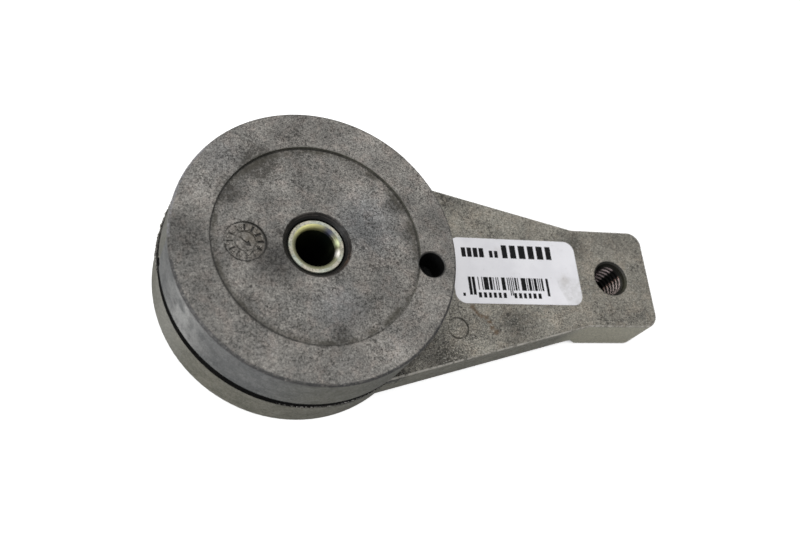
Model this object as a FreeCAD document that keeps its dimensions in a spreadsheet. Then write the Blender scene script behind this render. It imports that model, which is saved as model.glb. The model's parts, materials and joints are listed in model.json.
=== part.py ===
"""Rotary torsion-spring belt tensioner: a fixed cast base cup, a sprung arm and the pivot parts between them.

Frame: millimetres, +Z out of the mounting face and +X along the arm. The origin lies on the pivot axis, in
the plane of the bolt seat, which is the lowest plane of the object.
"""

import FreeCAD, Part
import math
import os
import re

import Sketcher

SIZES = {
    # levels along the pivot axis
    "rim_level": 29.6,
    "base_edge_level": 15.4,
    "sleeve_top_level": 27.6,
    "arm_top_level": 13.9,
    "arm_back_level": 0.5,
    "web_back_level": 3.6,
    # fixed base cup
    "base_radius": 35.5,
    "base_wall": 4.0,
    "base_floor": 4.5,
    "base_edge_round": 0.7,
    "recess_radius": 26.0,
    "recess_depth": 0.8,
    "base_hub_radius": 12.0,
    "base_hub_end_level": 15.1,
    "relief_radius": 7.3,
    "relief_depth": 5.0,
    "countersink": 1.2,
    "pin_orbit": 29.05,
    "pin_angle": -9.2,
    "pin_radius": 3.25,
    "pin_depth": 8.0,
    "pin_mouth": 0.35,
    "pin_boss_radius": 6.0,
    "pin_boss_clearance": 0.2,
    "stop_boss_inner": 23.4,
    "stop_boss_outer": 30.3,
    "stop_boss_level": 12.0,
    "index_notch_width": 2.4,
    "index_notch_height": 1.4,
    "index_notch_depth": 1.2,
    # cast date dial on the recess floor
    "dial_place": -17.5,
    "dial_radius": 4.8,
    "dial_inner_radius": 2.3,
    "dial_line": 0.4,
    "dial_depth": 0.25,
    "dial_ticks": 12,
    "dial_tick_start": 2.9,
    "dial_tick_end": 4.4,
    "dial_arrow_angle": -40.0,
    "dial_arrow_tail": 1.7,
    "dial_arrow_neck": 0.4,
    "dial_arrow_tip": 1.9,
    "dial_arrow_half_width": 0.85,
    # arm casting
    "cup_radius": 35.3,
    "cup_wall": 4.0,
    "cup_floor": 4.0,
    "arm_length": 89.8,
    "web_root_half_width": 34.34,
    "web_taper": 0.247,
    "boss_start": 80.0,
    "boss_end": 102.3,
    "boss_corner": 4.0,
    "boss_slope": 2.2,
    "arm_edge_round": 0.6,
    "arm_hub_radius": 13.0,
    "spring_seat_radius": 20.5,
    "spring_seat_level": 5.5,
    "washer_seat_radius": 11.5,
    "washer_seat_level": 4.2,
    "thread_radius": 4.76,
    "thread_mouth": 0.58,
    "pocket_wall": 4.5,
    "pocket_depth": 5.0,
    "pocket_start": 42.0,
    "pocket_end": 75.0,
    "pocket_rib": 4.0,
    "pocket_corner": 1.6,
    "ejector_place": 40.6,
    "ejector_offset": -15.4,
    "ejector_radius": 3.0,
    "ejector_line": 0.35,
    "ejector_depth": 0.2,
    # stops inside the cups
    "arm_travel": 50.0,
    "stop_gap": 0.15,
    "stop_width": 5.0,
    "stop_inner": 22.0,
    "stop_outer": 25.8,
    "stop_top_level": 19.5,
    # pivot
    "journal_radius": 7.0,
    "bolt_hole_radius": 5.0,
    "flange_radius": 10.5,
    "flange_thickness": 2.0,
    "sleeve_lip": 0.75,
    "sleeve_edge": 0.2,
    "washer_radius": 11.0,
    "washer_top_level": 3.15,
    "washer_clearance": 0.05,
    "running_clearance": 0.04,
    "bush_wall": 0.96,
    "bush_flange_radius": 11.0,
    "lower_bush_level": 3.2,
    "lower_bush_end_level": 8.8,
    "upper_bush_end_level": 9.2,
    "upper_bush_level": 15.0,
    # spring and its guide
    "wire": 4.0,
    "coil_radius": 17.5,
    "coil_pitch": 4.25,
    "coil_turns": 3.25,
    "coil_start_level": 8.8,
    "coil_start_angle": 120.0,
    "spring_leg": 9.0,
    "spring_lug_width": 6.5,
    "spring_lug_thickness": 4.0,
    "spring_lug_overrun": 0.5,
    "spring_gap": 0.1,
    "guide_bore": 13.1,
    "guide_radius": 14.4,
    "guide_top_level": 14.5,
    "guide_flange_radius": 19.4,
    "guide_flange_level": 6.3,
    # damper and seal
    "liner_clearance": 0.05,
    "liner_inner": 30.0,
    "band_inner": 29.3,
    "band_clearance": 0.1,
    "liner_bottom_level": 14.2,
    "damper_top_level": 24.5,
    "damper_margin": 20.0,
    "rib_inner": 27.0,
    "rib_outer": 28.9,
    "rib_width": 8.0,
    "rib_swing": 80.0,
    "drive_rib_outer": 31.0,
    "drive_rib_width": 1.5,
    "drive_rib_angle": 17.4,
    "seal_inner": 32.0,
    "seal_outer": 35.4,
    "seal_top_level": 15.25,
    "seal_skirt_inner": 33.4,
    "seal_seat_level": 12.5,
    # paper label on the arm
    "label_length": 38.1,
    "label_width": 19.05,
    "label_thickness": 0.12,
    "label_centre": 60.3,
    "label_offset": 1.1,
    "label_corner": 3.0,
    # how far a pad runs into its neighbour, and a pocket past a face
    "overlap": 1.0,
}

SAME = 1e-4

doc = FreeCAD.newDocument("belt_tensioner")
sheet = doc.addObject("Spreadsheet::Sheet", "Sizes")
for row, (alias, value) in enumerate(SIZES.items(), start=1):
    sheet.set("A%d" % row, alias)
    sheet.set("B%d" % row, str(value))
    sheet.setAlias("B%d" % row, alias)
doc.recompute()


# ---------------------------------------------------------------- expressions


def sized(text):
    """Turn plain size names into references to the sheet."""
    return re.sub(r"[a-z_]+", lambda word: "Sizes." + word[0] if word[0] in SIZES else word[0], text)


def amount(text):
    """The present value of an expression."""
    return float(sheet.evalExpression(sized(text)))


def bind(thing, path, text):
    thing.setExpression(path, sized(text))


# ---------------------------------------------------------------- sketches


def new_body(name):
    body = doc.addObject("PartDesign::Body", name)
    body.Label = name
    return body


def new_sketch(body, name, level, turn="0", centre=("0", "0")):
    """A sketch parallel to the body's XY plane, turned about +Z and moved to a centre."""
    sketch = body.newObject("Sketcher::SketchObject", name)
    plane = next(one for one in body.Origin.OriginFeatures if one.Role == "XY_Plane")
    sketch.AttachmentSupport = [(plane, "")]
    sketch.MapMode = "FlatFace"
    bind(sketch, "AttachmentOffset.Base.x", centre[0])
    bind(sketch, "AttachmentOffset.Base.y", centre[1])
    bind(sketch, "AttachmentOffset.Base.z", level)
    if turn != "0":
        bind(sketch, "AttachmentOffset.Rotation.Angle", turn)
    return sketch


def hold_point(sketch, geometry, position, place, kinds=("DistanceX", "DistanceY")):
    """Fix one point of a sketch element at a place given by two expressions."""
    if place == ("0", "0"):
        sketch.addConstraint(Sketcher.Constraint("Coincident", geometry, position, -1, 1))
        return
    axes = {"DistanceX": (-2, place[0]), "DistanceY": (-1, place[1])}
    for kind in kinds:
        axis, text = axes[kind]
        if text == "0":
            sketch.addConstraint(Sketcher.Constraint("PointOnObject", geometry, position, axis))
            continue
        rule = Sketcher.Constraint(kind, -1, 1, geometry, position, amount(text))
        bind(sketch, "Constraints[%d]" % sketch.addConstraint(rule), text)


def circle(radius, centre=("0", "0")):
    def draw(sketch):
        middle = FreeCAD.Vector(amount(centre[0]), amount(centre[1]), 0)
        ring = sketch.addGeometry(Part.Circle(middle, FreeCAD.Vector(0, 0, 1), amount(radius)))
        rule = Sketcher.Constraint("Radius", ring, amount(radius))
        bind(sketch, "Constraints[%d]" % sketch.addConstraint(rule), radius)
        hold_point(sketch, ring, 3, centre)

    return draw


def outline(*corners):
    def draw(sketch):
        points = [FreeCAD.Vector(amount(x), amount(y), 0) for x, y in corners]
        lines = []
        for start, end in zip(points, points[1:] + points[:1]):
            lines.append(sketch.addGeometry(Part.LineSegment(start, end)))
        for line, after in zip(lines, lines[1:] + lines[:1]):
            sketch.addConstraint(Sketcher.Constraint("Coincident", line, 2, after, 1))
        for line, place in zip(lines, corners):
            hold_point(sketch, line, 1, place)

    return draw


def box(x_low, x_high, y_low, y_high):
    return outline((x_low, y_low), (x_high, y_low), (x_high, y_high), (x_low, y_high))


def sector(inner, outer, start, end):
    """A ring segment between two radii, from one angle to another in degrees."""

    def draw(sketch):
        first, last = math.radians(amount(start)), math.radians(amount(end))
        # an arc's far end needs only the coordinate that changes most along the arc there
        far_kind = "DistanceX" if abs(math.sin(last)) > abs(math.cos(last)) else "DistanceY"
        arcs = []
        for radius in (inner, outer):
            rim = Part.Circle(FreeCAD.Vector(), FreeCAD.Vector(0, 0, 1), amount(radius))
            arc = sketch.addGeometry(Part.ArcOfCircle(rim, first, last))
            sketch.addConstraint(Sketcher.Constraint("Coincident", arc, 3, -1, 1))
            for position, angle, kinds in ((1, start, ("DistanceX", "DistanceY")), (2, end, (far_kind,))):
                place = ("(%s) * cos(%s)" % (radius, angle), "(%s) * sin(%s)" % (radius, angle))
                hold_point(sketch, arc, position, place, kinds)
            arcs.append(arc)
        for position, angle in ((1, first), (2, last)):
            ray = FreeCAD.Vector(math.cos(angle), math.sin(angle), 0)
            side = sketch.addGeometry(Part.LineSegment(ray * amount(inner), ray * amount(outer)))
            sketch.addConstraint(Sketcher.Constraint("Coincident", side, 1, arcs[0], position))
            sketch.addConstraint(Sketcher.Constraint("Coincident", side, 2, arcs[1], position))

    return draw


# ---------------------------------------------------------------- features

cuts = []


def pad(body, name, bottom, top, *shapes, **placing):
    sketch = new_sketch(body, name + "_sketch", bottom, **placing)
    for draw in shapes:
        draw(sketch)
    feature = body.newObject("PartDesign::Pad", name)
    feature.Profile = sketch
    bind(feature, "Length", "%s - (%s)" % (top, bottom))
    body.Tip = feature
    return feature


def cut(body, name, top, bottom, *shapes, **placing):
    """A pocket from its upper level down to its lower one."""
    sketch = new_sketch(body, name + "_sketch", top, **placing)
    for draw in shapes:
        draw(sketch)
    feature = body.newObject("PartDesign::Pocket", name)
    feature.Profile = sketch
    bind(feature, "Length", "%s - (%s)" % (top, bottom))
    body.Tip = feature
    cuts.append(feature)
    return feature


def around(body, name, feature, count):
    """Repeat a feature about the axis of its own sketch."""
    pattern = body.newObject("PartDesign::PolarPattern", name)
    pattern.Originals = [feature]
    pattern.Axis = (feature.Profile[0], ["N_Axis"])
    pattern.Angle = 360
    bind(pattern, "Occurrences", count)
    body.Tip = pattern
    return pattern


def ring_edges(feature, radius, level, centre=("0", "0")):
    """Names of the circular edges of a radius that lie at a level about a centre."""
    wanted = FreeCAD.Vector(amount(centre[0]), amount(centre[1]), amount(level))
    names = []
    for number, edge in enumerate(feature.Shape.Edges, start=1):
        if not isinstance(edge.Curve, Part.Circle):
            continue
        if abs(edge.Curve.Radius - amount(radius)) < SAME and edge.Curve.Center.isEqual(wanted, SAME):
            names.append("Edge%d" % number)
    return names


def edges_where(feature, test):
    return ["Edge%d" % number for number, edge in enumerate(feature.Shape.Edges, start=1) if test(edge)]


def dress(body, kind, name, feature, edges, size):
    """A fillet or a chamfer on named edges."""
    if not edges:
        raise RuntimeError("no edge for " + name)
    dressed = body.newObject("PartDesign::" + kind, name)
    dressed.Base = (feature, edges)
    bind(dressed, "Radius" if kind == "Fillet" else "Size", size)
    body.Tip = dressed
    doc.recompute()
    return dressed


# ---------------------------------------------------------------- base housing

FLOOR_UNDERSIDE = "(rim_level - base_floor)"
RECESS_LEVEL = "(rim_level - recess_depth)"
INTO_FLOOR = FLOOR_UNDERSIDE + " + overlap"
PIN_CENTRE = ("pin_orbit * cos(pin_angle)", "pin_orbit * sin(pin_angle)")
COIL_END_ANGLE = "(coil_start_angle - 360 * coil_turns)"
COIL_END_LEVEL = "(coil_start_level + coil_pitch * coil_turns)"


def spring_lug(side):
    """The block that an end of the spring leans on: side is 1 for the lower leg and -1 for the upper one."""
    inner = "coil_radius + wire / 2 + spring_gap"
    near = "%d * (spring_leg - spring_lug_width)" % side
    far = "%d * (spring_leg + spring_lug_overrun)" % side
    return box(inner, inner + " + spring_lug_thickness", near, far)


def base_housing():
    body = new_body("base_housing")
    pad(body, "base_cup", "base_edge_level", "rim_level", circle("base_radius"))
    cut(body, "base_cavity", FLOOR_UNDERSIDE, "base_edge_level - overlap", circle("base_radius - base_wall"))
    pad(body, "base_hub", "base_hub_end_level", INTO_FLOOR, circle("base_hub_radius"))
    pin_boss = circle("pin_boss_radius", ("pin_orbit", "0"))
    pad(body, "pin_boss", "base_edge_level + pin_boss_clearance", INTO_FLOOR, pin_boss, turn="pin_angle")
    stop_boss = box("stop_boss_inner", "stop_boss_outer", "-pin_boss_radius", "pin_boss_radius")
    pad(body, "stop_boss", "stop_boss_level", INTO_FLOOR, stop_boss, turn="pin_angle")
    pad(
        body,
        "base_spring_lug",
        COIL_END_LEVEL + " - wire / 4",
        INTO_FLOOR,
        spring_lug(-1),
        turn=COIL_END_ANGLE,
    )
    cut(body, "recess", "rim_level", RECESS_LEVEL, circle("recess_radius"))
    cut(body, "relief", RECESS_LEVEL, RECESS_LEVEL + " - relief_depth", circle("relief_radius"))
    cut(body, "sleeve_seat", RECESS_LEVEL, "base_hub_end_level - overlap", circle("journal_radius"))
    cut(body, "pin_hole", "rim_level", "rim_level - pin_depth", circle("pin_radius", PIN_CENTRE))
    mouth = cut(
        body, "pin_mouth", "rim_level", "rim_level - pin_mouth", circle("pin_radius + pin_mouth", PIN_CENTRE)
    )
    mouth.TaperAngle = -45
    notch = outline(
        ("-base_radius + index_notch_depth", "0"),
        ("-base_radius - overlap", "index_notch_width"),
        ("-base_radius - overlap", "-index_notch_width"),
    )
    notch_top = "base_edge_level + index_notch_height"
    cut(body, "index_notch", notch_top, "base_edge_level - overlap", notch)
    dial = {"centre": ("dial_place", "0")}
    floor = RECESS_LEVEL + " - dial_depth"
    ring = (circle("dial_radius + dial_line"), circle("dial_radius"))
    inner_ring = (circle("dial_inner_radius + dial_line"), circle("dial_inner_radius"))
    cut(body, "dial_ring", RECESS_LEVEL, floor, *ring, **dial)
    cut(body, "dial_inner_ring", RECESS_LEVEL, floor, *inner_ring, **dial)
    tick = box("dial_tick_start", "dial_tick_end", "-dial_line / 2", "dial_line / 2")
    first_tick = cut(body, "dial_tick", RECESS_LEVEL, floor, tick, **dial)
    around(body, "dial_tick_ring", first_tick, "dial_ticks")
    arrow = outline(
        ("-dial_arrow_tail", "-dial_line / 2"),
        ("dial_arrow_neck", "-dial_line / 2"),
        ("dial_arrow_neck", "-dial_arrow_half_width"),
        ("dial_arrow_tip", "0"),
        ("dial_arrow_neck", "dial_arrow_half_width"),
        ("dial_arrow_neck", "dial_line / 2"),
        ("-dial_arrow_tail", "dial_line / 2"),
    )
    last = cut(body, "dial_arrow", RECESS_LEVEL, floor, arrow, turn="dial_arrow_angle", **dial)
    doc.recompute()
    last = dress(
        body,
        "Chamfer",
        "sleeve_countersink",
        last,
        ring_edges(last, "relief_radius", RECESS_LEVEL),
        "countersink",
    )
    rim = ring_edges(last, "base_radius", "rim_level")
    dress(body, "Fillet", "rim_round", last, rim, "base_edge_round")
    return body


# ---------------------------------------------------------------- tensioner arm

CUP_FLOOR_LEVEL = "(arm_back_level + cup_floor)"
INTO_CUP_FLOOR = CUP_FLOOR_LEVEL + " - overlap"


def arm_outline(distance, inset="0"):
    """Half width of the arm web at a distance from the pivot."""
    return "(web_root_half_width - web_taper * (%s) - (%s))" % (distance, inset)


def tensioner_arm():
    body = new_body("tensioner_arm")
    pad(body, "arm_cup", "arm_back_level", "arm_top_level", circle("cup_radius"))
    boss_half = arm_outline("boss_start")
    web = outline(
        ("0", "-web_root_half_width"),
        ("boss_start", "-" + boss_half),
        ("boss_start", boss_half),
        ("0", "web_root_half_width"),
    )
    pad(body, "arm_web", "web_back_level", "arm_top_level", web)
    boss = box("boss_start", "boss_end", "-" + boss_half, boss_half)
    last = pad(body, "arm_boss", "arm_back_level", "arm_top_level", boss)
    doc.recompute()

    def boss_corner(edge):
        ends = [vertex.Point for vertex in edge.Vertexes]
        at_end = all(abs(point.x - amount("boss_end")) < SAME for point in ends)
        return at_end and abs(ends[0].z - ends[-1].z) > 1

    last = dress(body, "Fillet", "boss_corners", last, edges_where(last, boss_corner), "boss_corner")

    def boss_back_edge(edge):
        ends = [vertex.Point for vertex in edge.Vertexes]
        at_start = all(abs(point.x - amount("boss_start")) < SAME for point in ends)
        return at_start and all(abs(point.z - amount("arm_back_level")) < SAME for point in ends)

    last = dress(body, "Chamfer", "boss_slope", last, edges_where(last, boss_back_edge), "boss_slope")

    def outer_top_edge(edge):
        return all(abs(vertex.Point.z - amount("arm_top_level")) < SAME for vertex in edge.Vertexes)

    last = dress(body, "Fillet", "arm_top_round", last, edges_where(last, outer_top_edge), "arm_edge_round")

    cut(body, "cup_cavity", "arm_top_level + overlap", CUP_FLOOR_LEVEL, circle("cup_radius - cup_wall"))
    seal_seat = (circle("seal_outer"), circle("seal_skirt_inner"))
    cut(body, "seal_seat", "arm_top_level + overlap", "seal_seat_level", *seal_seat)
    pad(body, "spring_seat", INTO_CUP_FLOOR, "spring_seat_level", circle("spring_seat_radius"))
    pad(body, "arm_hub", INTO_CUP_FLOOR, "arm_top_level", circle("arm_hub_radius"))
    arm_lug_top = "coil_start_level + wire / 4"
    pad(body, "arm_spring_lug", INTO_CUP_FLOOR, arm_lug_top, spring_lug(1), turn="coil_start_angle")
    for name, side, turn in (("rest_stop", 1, "pin_angle"), ("travel_stop", -1, "(pin_angle - arm_travel)")):
        face = "%d * (pin_boss_radius + stop_gap)" % side
        back = "%d * (pin_boss_radius + stop_gap + stop_width)" % side
        lug = box("stop_inner", "stop_outer", face, back)
        pad(body, name, INTO_CUP_FLOOR, "stop_top_level", lug, turn=turn)
    rib = box("rib_inner", "rib_outer", "-rib_width / 2", "rib_width / 2")
    middle = "(pin_angle - arm_travel / 2 + 180)"
    for name, side in (("band_rib_left", 1), ("band_rib_middle", 0), ("band_rib_right", -1)):
        turn = "%s + %d * rib_swing" % (middle, side)
        pad(body, name, INTO_CUP_FLOOR, "damper_top_level", rib, turn=turn)
    drive = box("rib_inner", "drive_rib_outer", "-drive_rib_width / 2", "drive_rib_width / 2")
    drive_turns = ("pin_angle + drive_rib_angle", "pin_angle - arm_travel - drive_rib_angle")
    for name, turn in zip(("drive_rib_near", "drive_rib_far"), drive_turns):
        pad(body, name, INTO_CUP_FLOOR, "damper_top_level", drive, turn=turn)
    cut(body, "washer_seat", "washer_seat_level", "arm_back_level - overlap", circle("washer_seat_radius"))
    bush_bore = circle("journal_radius + running_clearance + bush_wall")
    cut(body, "bush_bore", "arm_top_level + overlap", "arm_back_level - overlap", bush_bore)
    thread = circle("thread_radius", ("arm_length", "0"))
    cut(body, "thread_hole", "arm_top_level", "arm_back_level", thread)
    pocket_top = "web_back_level + pocket_depth"
    for name, side in (("pocket_left", 1), ("pocket_right", -1)):
        near = "%d * pocket_rib / 2" % side
        wide = "%d * %s" % (side, arm_outline("pocket_start", "pocket_wall"))
        narrow = "%d * %s" % (side, arm_outline("pocket_end", "pocket_wall"))
        shape = outline(
            ("pocket_start", near), ("pocket_end", near), ("pocket_end", narrow), ("pocket_start", wide)
        )
        last = cut(body, name, pocket_top, "web_back_level", shape)
    ejector = {"centre": ("ejector_place", "ejector_offset")}
    mark = (circle("ejector_radius"), circle("ejector_radius - ejector_line"))
    last = cut(body, "ejector_mark", "arm_top_level", "arm_top_level - ejector_depth", *mark, **ejector)
    doc.recompute()

    def pocket_corner(edge):
        if not isinstance(edge.Curve, Part.Line) or len(edge.Vertexes) < 2:
            return False
        low, high = sorted(vertex.Point.z for vertex in edge.Vertexes)
        upright = abs(low - amount("web_back_level")) < SAME and abs(high - amount(pocket_top)) < SAME
        place = edge.Vertexes[0].Point
        return upright and amount("pocket_start") - SAME < place.x < amount("pocket_end") + SAME

    last = dress(body, "Fillet", "pocket_corners", last, edges_where(last, pocket_corner), "pocket_corner")
    cup_back = ring_edges(last, "cup_radius", "arm_back_level")
    last = dress(body, "Fillet", "cup_back_round", last, cup_back, "arm_edge_round")
    mouths = ring_edges(last, "thread_radius", "arm_top_level", ("arm_length", "0"))
    mouths += ring_edges(last, "thread_radius", "arm_back_level", ("arm_length", "0"))
    dress(body, "Chamfer", "thread_mouths", last, mouths, "thread_mouth")
    return body


# ---------------------------------------------------------------- pivot


def pivot_sleeve():
    body = new_body("pivot_sleeve")
    pad(body, "sleeve_tube", "0", "sleeve_top_level", circle("journal_radius"))
    pad(body, "sleeve_flange", "0", "flange_thickness", circle("flange_radius"))
    last = cut(body, "bolt_hole", "sleeve_top_level", "0", circle("bolt_hole_radius"))
    doc.recompute()
    lip = ring_edges(last, "bolt_hole_radius", "sleeve_top_level")
    last = dress(body, "Fillet", "sleeve_lip", last, lip, "sleeve_lip")
    edges = ring_edges(last, "journal_radius", "sleeve_top_level")
    edges += ring_edges(last, "bolt_hole_radius", "0")
    dress(body, "Chamfer", "sleeve_edges", last, edges, "sleeve_edge")
    return body


def ring_part(name, inner, outer, bottom, top):
    """A plain turned ring."""
    body = new_body(name)
    pad(body, name + "_ring", bottom, top, circle(outer), circle(inner))
    return body


def flanged_bush(name, flange_level, tube_start, tube_end):
    """A thin bush for the arm hub, with its flange on one side."""
    bore = circle("journal_radius + running_clearance")
    body = new_body(name)
    low, high = sorted((tube_start, tube_end), key=amount)
    tube = circle("journal_radius + running_clearance + bush_wall")
    pad(body, name + "_tube", low, high, tube, bore)
    low, high = sorted((flange_level, tube_start), key=amount)
    bore = circle("journal_radius + running_clearance")
    pad(body, name + "_flange", low, high, circle("bush_flange_radius"), bore)
    return body


# ---------------------------------------------------------------- spring, damper, seal and label


def spring_guide():
    body = new_body("spring_guide")
    bore = circle("guide_bore")
    pad(body, "guide_tube", "spring_seat_level", "guide_top_level", circle("guide_radius"), bore)
    flange = circle("guide_flange_radius")
    pad(body, "guide_flange", "spring_seat_level", "guide_flange_level", flange, bore)
    return body


def spring_leg(name, angle, level, outward):
    """A straight end of the wire, which carries on along the coil at an angle and a level."""
    leg = doc.addObject("Part::Cylinder", name)
    bind(leg, "Radius", "wire / 2")
    bind(leg, "Height", "spring_leg")
    turn = math.radians(angle)
    radius = amount("coil_radius")
    rise = amount("coil_pitch") / (2 * math.pi * radius)
    along = FreeCAD.Vector(math.sin(turn), -math.cos(turn), rise) * outward
    start = FreeCAD.Vector(radius * math.cos(turn), radius * math.sin(turn), level)
    leg.Placement = FreeCAD.Placement(start, FreeCAD.Rotation(FreeCAD.Vector(0, 0, 1), along))
    return leg


def torsion_spring():
    """A left-handed coil of round wire with a straight tangential leg at each end."""
    helix = doc.addObject("Part::Helix", "coil_line")
    bind(helix, "Radius", "coil_radius")
    bind(helix, "Pitch", "coil_pitch")
    bind(helix, "Height", "coil_pitch * coil_turns")
    helix.LocalCoord = 1
    helix.SegmentLength = 1
    doc.recompute()
    profile = doc.addObject("Part::Circle", "wire_profile")
    bind(profile, "Radius", "wire / 2")
    rise = amount("coil_pitch") / (2 * math.pi * amount("coil_radius"))
    across = FreeCAD.Rotation(FreeCAD.Vector(0, 0, 1), FreeCAD.Vector(0, -1, rise))
    profile.Placement = FreeCAD.Placement(FreeCAD.Vector(amount("coil_radius"), 0, 0), across)
    coil = doc.addObject("Part::Sweep", "coil")
    coil.Sections = [profile]
    coil.Spine = (helix, ["Edge%d" % turn for turn in range(1, len(helix.Shape.Edges) + 1)])
    coil.Solid = True
    coil.Frenet = True
    lower = spring_leg("lower_leg", 0, 0, -1)
    rise_height = amount("coil_pitch * coil_turns")
    upper = spring_leg("upper_leg", -360 * amount("coil_turns"), rise_height, 1)
    spring = doc.addObject("Part::MultiFuse", "torsion_spring")
    spring.Label = "torsion_spring"
    spring.Shapes = [coil, lower, upper]
    bind(spring, "Placement.Base.z", "coil_start_level")
    bind(spring, "Placement.Rotation.Angle", "coil_start_angle")
    return spring


def damper_strip(name, inner, outer, bottom):
    """An open ring that reaches round the cup, clear of the path of the pin boss."""
    body = new_body(name)
    start = "(pin_angle + damper_margin)"
    end = "(pin_angle - arm_travel - damper_margin + 360)"
    pad(body, name + "_strip", bottom, "damper_top_level", sector(inner, outer, start, end))
    return body


def dust_seal():
    """A rubber ring that closes the gap above the cup, with a skirt in the seat round the cup's rim."""
    body = new_body("dust_seal")
    outer = circle("seal_outer")
    pad(body, "seal_skirt", "seal_seat_level", "arm_top_level + overlap", outer, circle("seal_skirt_inner"))
    pad(body, "seal_ring", "arm_top_level", "seal_top_level", outer, circle("seal_inner"))
    return body


def part_label():
    body = new_body("part_label")
    half_length = "label_length / 2"
    half_width = "label_width / 2"
    sheet_shape = box("-" + half_length, half_length, "-" + half_width, half_width)
    place = {"centre": ("label_centre", "label_offset")}
    label_top = "arm_top_level + label_thickness"
    last = pad(body, "label_sheet", "arm_top_level", label_top, sheet_shape, **place)
    doc.recompute()

    def upright(edge):
        return abs(edge.Vertexes[0].Point.z - edge.Vertexes[-1].Point.z) > SAME

    dress(body, "Fillet", "label_corners", last, edges_where(last, upright), "label_corner")
    return body


# ---------------------------------------------------------------- build, check and write

washer_bore = "journal_radius + washer_clearance"
liner_outer = "base_radius - base_wall - liner_clearance"
parts = [
    base_housing(),
    tensioner_arm(),
    pivot_sleeve(),
    ring_part("thrust_washer", washer_bore, "washer_radius", "flange_thickness", "washer_top_level"),
    flanged_bush("lower_bush", "lower_bush_level", "washer_seat_level", "lower_bush_end_level"),
    flanged_bush("upper_bush", "upper_bush_level", "arm_top_level", "upper_bush_end_level"),
    spring_guide(),
    torsion_spring(),
    damper_strip("damper_liner", "liner_inner", liner_outer, "liner_bottom_level"),
    damper_strip("damper_band", "band_inner", "liner_inner", CUP_FLOOR_LEVEL + " + band_clearance"),
    dust_seal(),
    part_label(),
]
doc.recompute()

for thing in doc.Objects:
    if "Invalid" in thing.State or "Error" in thing.State:
        raise RuntimeError("%s: %s" % (thing.Name, thing.State))
for pocket in cuts:
    if pocket.Shape.Volume >= pocket.BaseFeature.Shape.Volume:
        raise RuntimeError("%s cuts nothing" % pocket.Name)
for part in parts:
    if part.Shape.isNull() or not part.Shape.isValid() or len(part.Shape.Solids) != 1:
        raise RuntimeError("%s is not one valid solid" % part.Label)

os.makedirs("parts", exist_ok=True)
for part in parts:
    part.Shape.exportStep("parts/%s.step" % part.Label)
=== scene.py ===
"""Looks of the belt tensioner: cast aluminium, plated steel, thread, label print and studio."""

import json
import math
import random

import bpy
from mathutils import Matrix, Vector


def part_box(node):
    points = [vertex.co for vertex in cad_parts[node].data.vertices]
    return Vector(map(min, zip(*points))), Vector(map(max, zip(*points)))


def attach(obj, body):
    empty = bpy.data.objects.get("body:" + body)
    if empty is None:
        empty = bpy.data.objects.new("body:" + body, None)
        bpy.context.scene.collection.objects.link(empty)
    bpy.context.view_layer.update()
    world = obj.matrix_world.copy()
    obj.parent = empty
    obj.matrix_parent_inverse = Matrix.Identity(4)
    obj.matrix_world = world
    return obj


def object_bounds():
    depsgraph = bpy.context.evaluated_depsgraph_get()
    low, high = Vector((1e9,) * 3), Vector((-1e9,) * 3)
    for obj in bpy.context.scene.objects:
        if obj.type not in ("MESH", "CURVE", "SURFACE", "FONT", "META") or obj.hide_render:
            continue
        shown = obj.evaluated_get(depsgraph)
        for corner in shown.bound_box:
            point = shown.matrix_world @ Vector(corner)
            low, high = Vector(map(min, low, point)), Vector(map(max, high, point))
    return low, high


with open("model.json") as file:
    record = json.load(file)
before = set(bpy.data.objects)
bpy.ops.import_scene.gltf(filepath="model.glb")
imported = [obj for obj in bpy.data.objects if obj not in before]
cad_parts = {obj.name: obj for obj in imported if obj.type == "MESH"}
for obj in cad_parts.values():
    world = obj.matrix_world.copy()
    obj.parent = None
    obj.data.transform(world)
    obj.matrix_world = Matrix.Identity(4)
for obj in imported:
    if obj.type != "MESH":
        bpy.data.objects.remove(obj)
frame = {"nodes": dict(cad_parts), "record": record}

MM = 0.001
nodes = frame["nodes"]
cad_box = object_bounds()
mounts = {mount["name"]: mount for mount in frame["record"]["mounts"]}


def top_of(node):
    """The highest level of a node at rest, in millimetres."""
    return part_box(node)[1].z / MM


def bottom_of(node):
    """The lowest level of a node at rest, in millimetres."""
    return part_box(node)[0].z / MM


# Small features that the frame doesn't list: places and sizes in millimetres, and a count.
SLEEVE_RADIUS = 7.0
RECESS_RADIUS = 26.0
RECESS_DEPTH = 0.8
COUNTERSINK_RADIUS = 8.5
DIAL_X = -17.5
DIAL_RADIUS = 4.8
DIAL_SECTORS = 12
SEAL_GAP = 0.15
EJECTOR_X = 40.6
EJECTOR_Y = -15.4
EJECTOR_RADIUS = 2.83

# Places and sizes read from the frame, in millimetres.
RIM_LEVEL = top_of("base_housing")
RECESS_LEVEL = RIM_LEVEL - RECESS_DEPTH
SLEEVE_TOP = top_of("pivot_sleeve")
BORE_RADIUS = mounts["pivot_bore"]["dims"]["r_mm"]
LABEL_TOP = top_of("part_label")
ARM_TOP = bottom_of("part_label")
BASE_EDGE = top_of("dust_seal") + SEAL_GAP
CUP_RIM = bottom_of("dust_seal")
HOUSING_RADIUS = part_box("base_housing")[1].x / MM
CUP_RADIUS = -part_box("tensioner_arm")[0].x / MM
PIN_X, PIN_Y = (value / MM for value in mounts["locating_pin_hole"]["pos_m"][:2])
PIN_RADIUS = mounts["locating_pin_hole"]["dims"]["r_mm"]
THREAD_X = mounts["pulley_thread"]["pos_m"][0] / MM
THREAD_MID = mounts["pulley_thread"]["pos_m"][2] / MM
THREAD_WALL = mounts["pulley_thread"]["dims"]["r_mm"]
THREAD_LENGTH = mounts["pulley_thread"]["dims"]["length_mm"]


# ---------------------------------------------------------------- node graphs


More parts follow.
